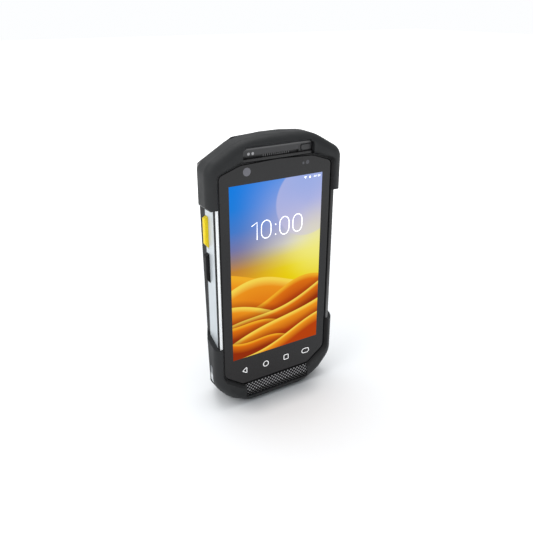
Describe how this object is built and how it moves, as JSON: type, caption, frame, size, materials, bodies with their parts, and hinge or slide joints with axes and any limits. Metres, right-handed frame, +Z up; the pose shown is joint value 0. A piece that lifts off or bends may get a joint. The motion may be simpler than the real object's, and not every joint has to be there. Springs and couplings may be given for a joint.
{
  "type": "portable data terminal",
  "caption": "Upright handheld data terminal with a touch display, padded ends, side rails, side keys, a scan window and a swing-out battery pack.",
  "frame": {"origin": "centre of the footprint on the ground, under the standing terminal", "axes": "+X to the right of the display, +Y from the display to the back, +Z up along the display's height"},
  "size_m": [0.084, 0.028, 0.1595],
  "materials": {
    "cover_glass": "glossy",
    "panel": "gloss",
    "soft_black": "matte",
    "flex": "satin",
    "lens": "gloss",
    "inner_black": "matte",
    "silver": "satin anodised",
    "housing": "semi gloss",
    "bumper": "soft matte",
    "trim": "satin",
    "grille": "matte",
    "light_pipe": "gloss",
    "key_black": "matte",
    "key_yellow": "satin",
    "steel": "plain",
    "dark_steel": "blackened",
    "board": "satin",
    "contact_metal": "polished",
    "scan_glass": "gloss",
    "flash_lens": "gloss",
    "battery_plastic": "fine texture",
    "cell_foil": "foil",
    "latch_plastic": "satin",
    "gold": "plated"
  },
  "bodies": {
    "device": {"display_glass": "cover_glass", "display_panel": "panel", "display_gasket": "soft_black", "display_flex": "flex", "front_camera_lens": "lens", "front_camera_module": "inner_black", "sensor_windows": "lens", "front_frame": "silver", "rear_housing": "housing", "top_bumper": "bumper", "bottom_bumper": "bumper", "earpiece_trim": "trim", "receiver_grille": "grille", "receiver": "inner_black", "status_light_pipes": "light_pipe", "power_switch": "steel", "rocker_pin": "steel", "key_boards": "board", "speaker_grille": "grille", "speaker_module": "inner_black", "side_contacts": "contact_metal", "scan_window": "scan_glass", "scan_engine": "inner_black", "scan_bracket": "steel", "rear_camera_window": "lens", "rear_camera_module": "inner_black", "flash_window": "flash_lens", "battery_contacts": "contact_metal", "card_door_pin": "steel", "card_socket": "steel", "memory_card": "inner_black", "strap_bars": "steel", "io_connector": "inner_black", "io_contacts": "gold", "main_board": "board", "board_screws": "steel", "shield_cans": "steel", "backup_cell": "steel", "vibration_motor": "steel", "antenna": "flex", "housing_screws": "dark_steel"},
    "scan_key_left": {"scan_button_left": "key_yellow"},
    "scan_key_right": {"scan_button_right": "key_yellow"},
    "talk_key": {"talk_button": "key_black"},
    "volume_key": {"volume_rocker": "key_black"},
    "power_key": {"power_button": "key_black"},
    "battery": {"battery_case": "battery_plastic", "battery_cover": "battery_plastic", "battery_cell": "cell_foil", "battery_board": "board"},
    "latch_left": {"battery_latch_left": "latch_plastic"},
    "latch_right": {"battery_latch_right": "latch_plastic"},
    "card_lid": {"card_door": "inner_black"}
  },
  "joints": [
    {"name": "scan_left_press", "type": "slide", "parent": "device", "child": "scan_key_left", "axis": [1, 0, 0], "range_m": [0, 0.0006], "stiffness_N_per_m": 1000, "springref_m": -0.0003},
    {"name": "scan_right_press", "type": "slide", "parent": "device", "child": "scan_key_right", "axis": [-1, 0, 0], "range_m": [0, 0.0006], "stiffness_N_per_m": 1000, "springref_m": -0.0003},
    {"name": "talk_press", "type": "slide", "parent": "device", "child": "talk_key", "axis": [1, 0, 0], "range_m": [0, 0.0006], "stiffness_N_per_m": 1000, "springref_m": -0.0003},
    {"name": "power_press", "type": "slide", "parent": "device", "child": "power_key", "axis": [0, 1, 0], "range_m": [0, 0.0004], "stiffness_N_per_m": 1000, "springref_m": -0.0003},
    {"name": "volume_rock", "type": "hinge", "parent": "device", "child": "volume_key", "pos_m": [0.0346, -0.0025, 0.087], "axis": [0, 1, 0], "range_deg": [-2.5, 2.5], "stiffness_Nm_per_rad": 0.08},
    {"name": "battery_swing", "type": "hinge", "parent": "device", "child": "battery", "pos_m": [0, 0.0065, 0.0275], "axis": [-1, 0, 0], "range_deg": [0, 45]},
    {"name": "latch_left_squeeze", "type": "slide", "parent": "battery", "child": "latch_left", "axis": [1, 0, 0], "range_m": [0, 0.0018], "stiffness_N_per_m": 600, "springref_m": -0.0008},
    {"name": "latch_right_squeeze", "type": "slide", "parent": "battery", "child": "latch_right", "axis": [-1, 0, 0], "range_m": [0, 0.0018], "stiffness_N_per_m": 600, "springref_m": -0.0008},
    {"name": "card_lid_swing", "type": "hinge", "parent": "device", "child": "card_lid", "pos_m": [-0.002, 0.0019, 0.036], "axis": [-1, 0, 0], "range_deg": [0, 45]}
  ],
  "couplings": [
    {"joint": "card_lid_swing", "follows": "battery_swing", "ratio": 1}
  ]
}
